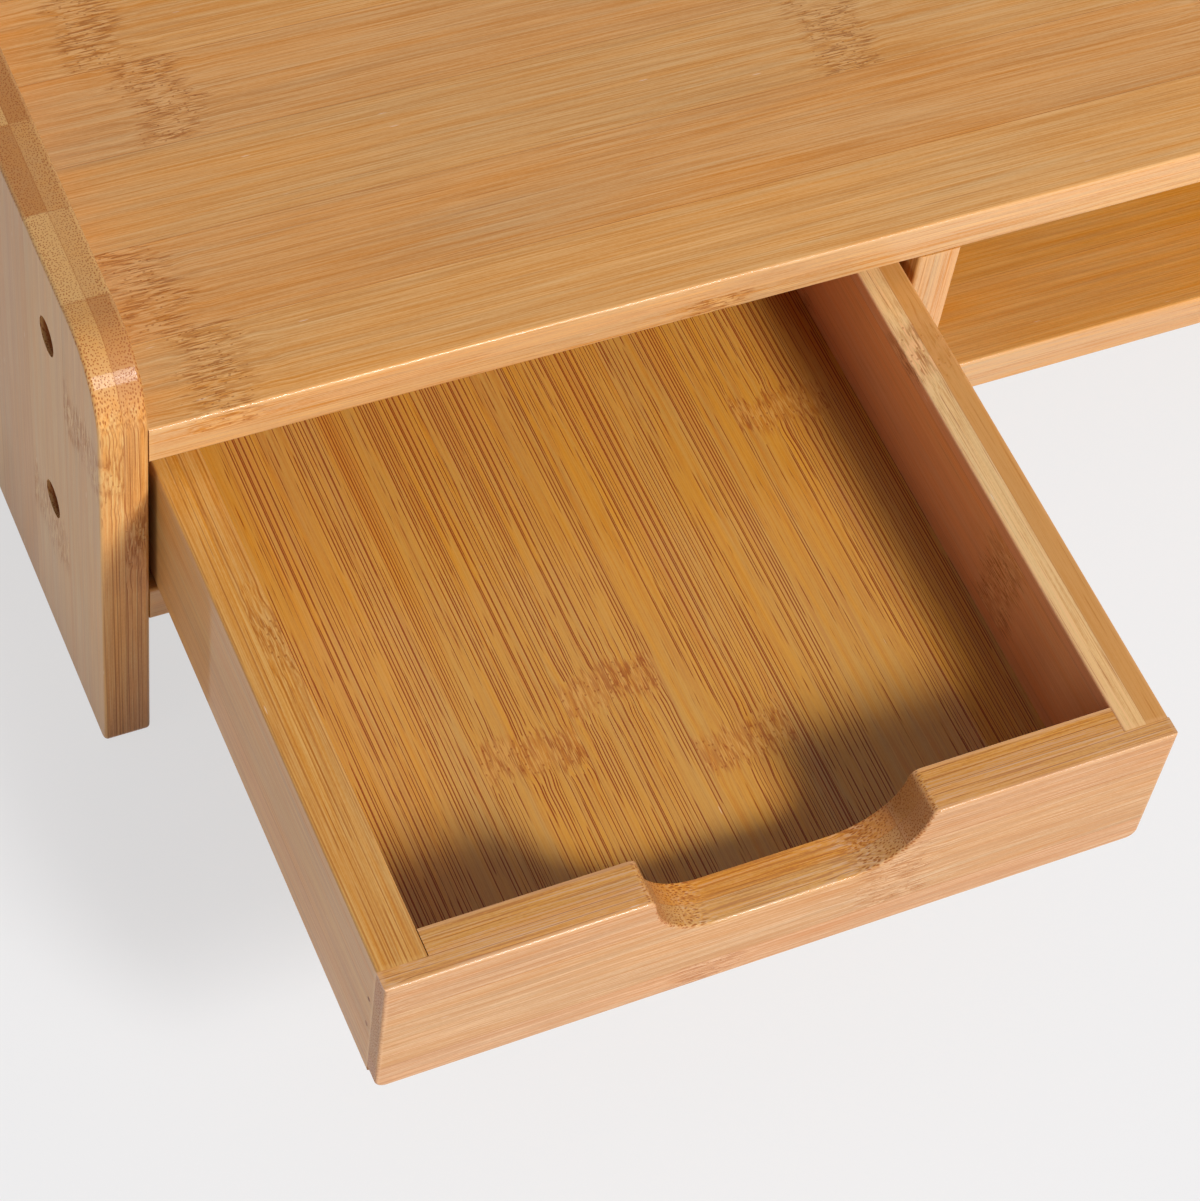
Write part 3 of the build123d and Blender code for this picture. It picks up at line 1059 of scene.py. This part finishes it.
class ScrewTree:
    """A Geometry Nodes tree that sets a threaded screw on every vertex of a mesh.

    Sides and rings are those of a round part, overlap is how far the solids of one screw reach
    into each other in millimetres, taper keeps the point's wide end inside the shank, and the
    part of the head above rim, as a share of its height, is drawn in by the chamfer.
    """

    SIDES = 40
    RINGS = 4
    THREAD_STEPS = 20
    OVERLAP = 0.3
    TAPER = 0.97
    RIM = 0.9

    def __init__(self) -> None:
        """Build the tree, with one named input for each size of a screw."""
        self.tree = bpy.data.node_groups.new("screws on points", "GeometryNodeTree")
        kinds = {"Geometry": "Geometry"}
        kinds |= {field.name: "Float" for field in fields(ScrewShape)}
        kinds |= {"outwards": "Vector", "seed": "Int", "material": "Material"}
        new = self.tree.interface.new_socket
        for name, kind in kinds.items():
            new(name=name, in_out="INPUT", socket_type="NodeSocket" + kind)
        new(name="Geometry", in_out="OUTPUT", socket_type="NodeSocketGeometry")
        self.graph = Graph(self.tree)
        sockets = self.graph.node("NodeGroupInput").outputs
        self.taken = SimpleNamespace(**{name: Wire(self.graph, sockets[name]) for name in kinds})
        screws = self.set_on_points(self.screw())
        painted = self.graph.use("GeometryNodeSetMaterial", screws, Material=self.taken.material)
        self.graph.end("NodeGroupOutput", painted)

    def lift(self, solid: Wire, height: Value) -> Wire:
        """Move a solid up along the Z axis."""
        return self.graph.use("GeometryNodeTransform", solid, Translation=self.graph.join(0.0, 0.0, height))

    def frustum(
        self, bottom: Value, top: Value, height: Value, base: Value = 0.0, sides: int = SIDES
    ) -> Wire:
        """Make a closed frustum round the Z axis, all in millimetres.

        Args:
            bottom: Radius at its foot.
            top: Radius at its top.
            height: Its height.
            base: Height of its foot.
            sides: Number of its sides.

        Returns:
            The frustum.
        """
        counts = {"Vertices": sides, "Side_Segments": self.RINGS}
        sizes = {"Radius_Top": top, "Radius_Bottom": bottom, "Depth": height}
        return self.lift(self.graph.use("GeometryNodeMeshCone", **counts, **sizes), base)

    def head(self) -> Wire:
        """Make the screw's head, its top edge chamfered and its hex socket cut.

        Returns:
            The head, its underside at the origin.
        """
        graph, taken = self.graph, self.taken
        radius, height, depth = taken.head_radius, taken.head_height, taken.socket_depth
        blank = self.frustum(taken.under_radius, radius, height)
        x, y, z = graph.split(graph.use("GeometryNodeInputPosition"))
        inwards = -(graph.math("GREATER_THAN", z, height * self.RIM) * (taken.chamfer / radius))
        rounded = graph.use("GeometryNodeSetPosition", blank, Offset=graph.join(x * inwards, y * inwards))
        corner = taken.socket_width / math.sqrt(3.0)
        socket = self.frustum(corner, corner, depth * 2.0, height - depth, 6)
        cut = graph.node("GeometryNodeMeshBoolean", operation="DIFFERENCE", solver="EXACT")
        return graph.feed(cut, Mesh_1=rounded, Mesh_2=socket)

    def screw(self) -> Wire:
        """Make one screw in millimetres that points down, its shank starting at the origin.

        Returns:
            The screw's head, shank, point and thread, which overlap.
        """
        graph, taken = self.graph, self.taken
        core = taken.shank_radius - taken.thread_depth
        straight = taken.length - taken.point
        foot = -straight
        turns = straight / taken.thread_pitch
        sizes = {"Start_Radius": core, "End_Radius": core, "Height": straight}
        helix = graph.use("GeometryNodeCurveSpiral", Resolution=self.THREAD_STEPS, Rotations=turns, **sizes)
        profile = graph.use("GeometryNodeCurvePrimitiveCircle", Resolution=3, Radius=taken.thread_depth)
        ridge = graph.use("GeometryNodeCurveToMesh", helix, Profile_Curve=profile, Fill_Caps=True)
        joined = graph.node("GeometryNodeJoinGeometry")
        for solid in (
            self.head(),
            self.frustum(core, core, straight + self.OVERLAP, foot),
            self.frustum(0.0, core * self.TAPER, taken.point + self.OVERLAP, foot - taken.point),
            self.lift(ridge, foot),
        ):
            graph.feed(joined, solid)
        return Wire(graph, joined.outputs[0])

    def set_on_points(self, screw: Wire) -> Wire:
        """Set a copy on every point, its head looking outwards and its socket turned at random.

        Args:
            screw: The screw.

        Returns:
            The real mesh of all screws, in metres.
        """
        graph, taken = self.graph, self.taken
        facing = graph.use("FunctionNodeAlignRotationToVector", Vector=taken.outwards)
        dice = graph.node("FunctionNodeRandomValue", data_type="FLOAT")
        by_name = {socket.identifier: socket for socket in [*dice.inputs, *dice.outputs]}
        graph.link(by_name["Max_001"], math.tau)
        graph.link(by_name["Seed"], taken.seed)
        angle = Wire(graph, by_name["Value_001"])
        turned = graph.node("FunctionNodeRotateRotation", rotation_space="LOCAL")
        turn = graph.use("FunctionNodeAxisAngleToRotation", Angle=angle)
        rotation = graph.feed(turned, Rotation=facing, Rotate_By=turn)
        scale = Vector((1.0, 1.0, 1.0)) / MM_PER_M
        place = {"Instance": screw, "Rotation": rotation, "Scale": scale}
        copies = graph.use("GeometryNodeInstanceOnPoints", taken.Geometry, **place)
        return graph.use("GeometryNodeRealizeInstances", copies)


@dataclass
class ScrewSet:
    """Screws of one kind on one body, which take the place of a CAD node."""

    node: str
    shape: ScrewShape
    outwards: Axis
    sign: float
    seed: int
    body: str = "stand"

    def seat(self, spots: list[Vector]) -> Vector:
        """Find one screw's seat, the point on its axis where the shank meets the head.

        Args:
            spots: Points of the screw's CAD solid, in metres.

        Returns:
            The seat.
        """
        low, high = (Vector([pick(numbers) for numbers in zip(*spots)]) for pick in (min, max))
        seat = (low + high) / 2
        head_top = (high if self.sign > 0 else low)[self.outwards.number]
        seat[self.outwards.number] = head_top - self.sign * self.shape.head_height / MM_PER_M
        return seat

    def seats(self) -> list[Vector]:
        """Find the seats of all screws from the loose shells of the CAD node.

        Returns:
            The seats, in metres.
        """
        work = bmesh.new()
        work.from_mesh(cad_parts[self.node].data)
        bmesh.ops.remove_doubles(work, verts=work.verts, dist=1e-6)
        left = set(work.verts)
        seats = []
        while left:
            edge = {left.pop()}
            shell = set(edge)
            while edge:
                edge = {link.other_vert(vert) for vert in edge for link in vert.link_edges} - shell
                shell |= edge
            left -= shell
            seats.append(self.seat([vert.co for vert in shell]))
        work.free()
        return sorted(seats, key=tuple)

    def build(self, tree: ScrewTree, material: bpy.types.Material) -> None:
        """Make the screws as one plain mesh and let them replace the CAD node.

        Args:
            tree: The shared screw tree.
            material: Material of the screws.
        """
        points = bpy.data.meshes.new(self.node + "_points")
        points.from_pydata(self.seats(), [], [])
        source = add_object(self.node + "_points", points)
        modifier = source.modifiers.new("screws", "NODES")
        modifier.node_group = tree.tree
        outwards = self.sign * Vector(self.outwards.value)
        inputs = asdict(self.shape) | {"outwards": outwards, "seed": self.seed, "material": material}
        for socket in tree.tree.interface.items_tree:
            if socket.in_out == "INPUT" and socket.name in inputs:
                modifier[socket.identifier] = inputs[socket.name]
        evaluated = source.evaluated_get(bpy.context.evaluated_depsgraph_get())
        mesh = bpy.data.meshes.new_from_object(evaluated)
        bpy.data.objects.remove(source)
        piece = add_object("threaded_" + self.node, mesh)
        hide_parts(self.node)
        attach(piece, self.body)
        log.info("made %s", piece.name)


@dataclass
class Stand:
    """The fixed body of the stand: long boards, uprights and what holds them together."""

    look: BambooLook
    strip: float = 28.0
    first_joint: float = 25.0
    shelf_knuckles: tuple[float, ...] = (-268.0, -276.0, -83.0, -252.0, -262.0, 60.0, -130.0, 180.0, -20.0)
    lower_knuckles: tuple[float, ...] = (-200.0, 150.0, -150.0, 110.0, -230.0, 40.0, -180.0, 90.0, -120.0)
    panel_knuckles: tuple[float, ...] = (85.0, 20.0, -60.0, 105.0, -80.0, 60.0, 130.0, -70.0, 90.0)
    panel_tones: tuple[tuple[float, float], ...] = (
        (-0.75, 0.35), (0.5, 0.8), (0.25, -0.65), (-0.9, 0.6), (0.0, 0.3),
        (0.5, -0.4), (-0.3, 0.4), (0.2, -0.2), (-0.5, 0.5),
    )
    steel: SteelFinish = SteelFinish(
        "zinc plated screws", bright=(0.74, 0.73, 0.70), dull=(0.50, 0.50, 0.49), roughness=0.32
    )
    panel_screw: ScrewShape = ScrewShape(
        length=40.0, head_radius=4.6, head_height=2.5, under_radius=4.6, socket_width=4.0, socket_depth=1.6
    )
    under_screw: ScrewShape = ScrewShape(
        length=30.0, head_radius=4.0, head_height=2.0, under_radius=2.0, socket_width=2.5, socket_depth=1.5,
        chamfer=0.15,
    )

    def boards(self) -> list[Board]:
        """List the stand's bamboo boards.

        Returns:
            The boards.
        """
        lying = {"strip_width": self.strip, "joint_from_edge": self.first_joint}
        shelf = Board(
            "top_shelf", Axis.X, Axis.Z, HONEY, seed=1.0,
            knuckles=self.shelf_knuckles, other_ply_knuckles=123.0, **lying,
        )
        lower = Board(
            "lower_board", Axis.X, Axis.Z, PAINTED_SHADE_HONEY, seed=2.0,
            knuckles=self.lower_knuckles, **lying,
        )
        boards = [shelf, lower]
        for number, side in enumerate(("left", "right")):
            panel = Board(
                side + "_side_panel", Axis.Z, Axis.X, PANEL_HONEY, seed=3.0 + number,
                joint_from_edge=self.first_joint, knuckles=self.panel_knuckles,
                tones=self.panel_tones, other_ply_knuckles=26.0,
            )
            divider = Board(
                side + "_divider", Axis.Z, Axis.X, HONEY, seed=5.0 + number, joint_from_edge=20.0
            )
            back = Board(
                side + "_bay_back", Axis.X, Axis.Y, HONEY, seed=7.0 + number,
                strip_width=26.0, joint_from_edge=17.0,
            )
            boards += [panel, divider, back]
        return boards

    def build(self) -> None:
        """Dress every node of the stand and make its screws."""
        for board in self.boards():
            board.dress(self.look)
        steel = self.steel.material()
        tree = ScrewTree()
        for screws in (
            ScrewSet("left_panel_screws", self.panel_screw, Axis.X, sign=-1.0, seed=1),
            ScrewSet("right_panel_screws", self.panel_screw, Axis.X, sign=1.0, seed=2),
            ScrewSet("underside_screws", self.under_screw, Axis.Z, sign=-1.0, seed=3),
        ):
            dress_plainly(screws.node, steel)
            screws.build(tree, steel)
        dress_plainly("divider_dowels", BeechFinish().material())


@dataclass
class Drawer:
    """One drawer: a notched front, two walls, a back and a thin floor.

    Shift is how far the drawer's boards lie from the left drawer's, along X and Y in millimetres,
    so that each drawer has its knuckles at the same places of its own boards.
    """

    look: BambooLook
    side: str
    seed: float
    shift: tuple[float, float] = (0.0, 0.0)
    front_knuckles: tuple[float, ...] = (-206.0, -160.0, -295.0)
    left_wall_knuckles: tuple[float, ...] = (-150.0, -60.0, -100.0)
    right_wall_knuckles: tuple[float, ...] = (-20.0, -130.0, -71.0)
    floor_knuckles: tuple[float, ...] = (20.0, 30.0, -129.0, -117.0, -141.0, 10.0, -53.0, 25.0)
    right_wall_tones: tuple[tuple[float, float], ...] = ((-1.0, 0.0),) * 3
    brads: SteelFinish = SteelFinish(
        "rusted brads", bright=(0.36, 0.15, 0.07), dull=(0.20, 0.07, 0.03), roughness=0.7, metallic=0.0
    )

    def boards(self) -> list[Board]:
        """List the drawer's bamboo boards.

        Returns:
            The boards.
        """
        name = self.side + "_drawer_"
        by_x, by_y = self.shift
        seed = self.seed
        wall = {"strip_width": 26.0, "joint_from_edge": 15.0}
        return [
            Board(
                name + "front", Axis.X, Axis.Y, FRONT_HONEY, seed, strip_width=24.0, joint_from_edge=9.0,
                knuckles=self.front_knuckles, knuckle_shift=by_x, other_ply_knuckles=0.0, upper_ply=-0.3,
            ),
            Board(
                name + "left_wall", Axis.Y, Axis.X, WALL_HONEY, seed + 0.1, **wall,
                knuckles=self.left_wall_knuckles, knuckle_shift=by_y, other_ply_knuckles=130.0,
            ),
            Board(
                name + "right_wall", Axis.Y, Axis.X, CREAM_TOPPED_WALL_PAINTED_BOUNCE, seed + 0.2, **wall,
                knuckles=self.right_wall_knuckles, knuckle_shift=by_y, other_ply_knuckles=0.0,
                tones=self.right_wall_tones,
            ),
            Board(
                name + "back", Axis.X, Axis.Y, HONEY, seed + 0.3, strip_width=26.0, joint_from_edge=17.0
            ),
            Board(
                name + "floor", Axis.Y, Axis.Z, GOLDEN_FLOOR, seed + 0.4, two_plies=False,
                strip_width=25.0, joint_from_edge=17.5,
                knuckles=self.floor_knuckles, knuckle_shift=by_y, other_ply_knuckles=0.0,
            ),
        ]

    def build(self) -> None:
        """Dress every node of the drawer."""
        for board in self.boards():
            board.dress(self.look)
        dress_plainly(self.side + "_drawer_brads", self.brads.material())


def dress_plainly(node: str, material: bpy.types.Material) -> None:
    """Give every material slot of a CAD node one material.

    Args:
        node: Name of the CAD node.
        material: The material.
    """
    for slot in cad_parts[node].material_slots:
        slot.material = material
    log.info("dressed %s", node)


def seen_directly(graph: Graph) -> Wire:
    """Tell the rays that show a thing itself from those that only light others.

    Args:
        graph: A shader graph.

    Returns:
        1 for camera, glossy and transmission rays, and 0 for others.
    """
    names = ("Is Camera Ray", "Is Glossy Ray", "Is Transmission Ray")
    return graph.most(*(graph.read("ShaderNodeLightPath", name) for name in names))


@dataclass(frozen=True)
class SoftBox:
    """A round soft box that looks at the stand. Lengths are metres and the power is in watts."""

    name: str
    direction: Place
    distance: float
    size: float
    power: float

    def hang(self) -> None:
        """Make the lamp at its distance from the stand, in its direction."""
        light = bpy.data.lights.new(self.name, "AREA")
        light.shape = "DISK"
        light.size = self.size
        light.energy = self.power
        lamp = add_object(self.name, light)
        towards = Vector(self.direction).normalized()
        lamp.location = towards * self.distance
        lamp.rotation_euler = towards.to_track_quat("Z", "Y").to_euler()


FROM_FRONT = (0.221, -0.722, 0.60)
FROM_SIDE = (-0.97, -0.22, 0.07)


@dataclass
class Studio:
    """Pale floor, soft light and the photograph's camera. Lengths are metres."""

    background: float = 0.831
    floor_half: float = 6.0
    floor_shade: float = 0.88
    floor_mottle: float = 0.005
    plain_share: float = 0.75
    plain_level: float = 0.85
    fill_level: float = 0.2
    fill_tint: Colour = (1.06, 1.0, 1.2)
    lamps: tuple[SoftBox, ...] = (
        SoftBox("front_lamp", FROM_FRONT, distance=4.0, size=0.85, power=100.0),
        SoftBox("front_soft_box", FROM_FRONT, distance=4.0, size=1.5, power=90.0),
        SoftBox("side_soft_box", FROM_SIDE, distance=3.0, size=1.0, power=16.0),
    )
    camera_place: Place = (-0.451477, -0.522963, 0.774649)
    camera_aim: Place = (-0.182436, -0.143083, 0.1)
    camera_roll: float = 13.246
    lens: float = 106.708
    shift: tuple[float, float] = (-0.10505, 0.07778)

    def floor(self) -> None:
        """Lay the floor, which shows the plain background and keeps the object's shadow."""
        mesh = bpy.data.meshes.new("studio_floor")
        half = self.floor_half
        corners = [(-half, -half, 0), (half, -half, 0), (half, half, 0), (-half, half, 0)]
        mesh.from_pydata(corners, [], [(0, 1, 2, 3)])
        material, graph = new_material("studio floor")
        spot = graph.read("ShaderNodeTexCoord", "Object")
        mottle = graph.noise(graph.stretch(spot, 3.0, 3.0, 3.0), 2.0)
        dark, light = self.floor_shade - self.floor_mottle, self.floor_shade + self.floor_mottle
        paper = graph.use("ShaderNodeBsdfDiffuse", Color=graph.step(mottle, 0.3, 0.7, dark, light))
        level = self.plain_level
        plain = graph.use("ShaderNodeEmission", Color=(level, level, level, 1.0))
        both = graph.use("ShaderNodeMixShader", seen_directly(graph) * self.plain_share, paper, plain)
        graph.end("ShaderNodeOutputMaterial", both)
        mesh.materials.append(material)
        floor = add_object("studio_floor", mesh)

    def world(self) -> None:
        """Set the soft fill light from all round, and the plain background above the floor."""
        world = bpy.data.worlds.new("studio")
        bpy.context.scene.world = world
        world.use_nodes = True
        graph = Graph(world.node_tree)
        fill = graph.use("ShaderNodeBackground", (*self.fill_tint, 1.0), self.fill_level)
        plain = graph.use("ShaderNodeBackground", (1.0, 1.0, 1.0, 1.0), self.background)
        both = graph.use("ShaderNodeMixShader", seen_directly(graph), fill, plain)
        graph.end("ShaderNodeOutputWorld", both)

    def camera(self) -> None:
        """Set the photograph's camera."""
        data = bpy.data.cameras.new("photo_camera")
        data.sensor_width = 36.0
        data.lens = self.lens
        data.shift_x, data.shift_y = self.shift
        data.clip_start = 0.01
        data.clip_end = 50.0
        camera = add_object("photo_camera", data)
        back = Vector(self.camera_place) - Vector(self.camera_aim)
        level = back.to_track_quat("Z", "Y").to_matrix().to_4x4()
        roll = Matrix.Rotation(math.radians(self.camera_roll), 4, "Z")
        camera.matrix_world = Matrix.Translation(self.camera_place) @ level @ roll
        bpy.context.scene.camera = camera

    def build(self) -> None:
        """Set the stage, the lights and the camera."""
        self.floor()
        self.world()
        for lamp in self.lamps:
            lamp.hang()
        self.camera()
        bpy.context.scene.view_settings.view_transform = "Standard"
        log.info("set the studio")


def main() -> None:
    """Build the studio, the stand and its drawers."""
    logging.basicConfig(level=logging.INFO, format="%(name)s: %(message)s")
    Studio().build()
    look = BambooLook()
    Stand(look).build()
    fronts = [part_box(f"{side}_drawer_front") for side in ("left", "right")]
    left_middle, right_middle = (sum(box, Vector()) / 2 * MM_PER_M for box in fronts)
    offset = right_middle - left_middle
    Drawer(look, "left", seed=11.0).build()
    Drawer(look, "right", seed=21.0, shift=(offset.x, offset.y)).build()


if __name__ == "__main__":
    main()
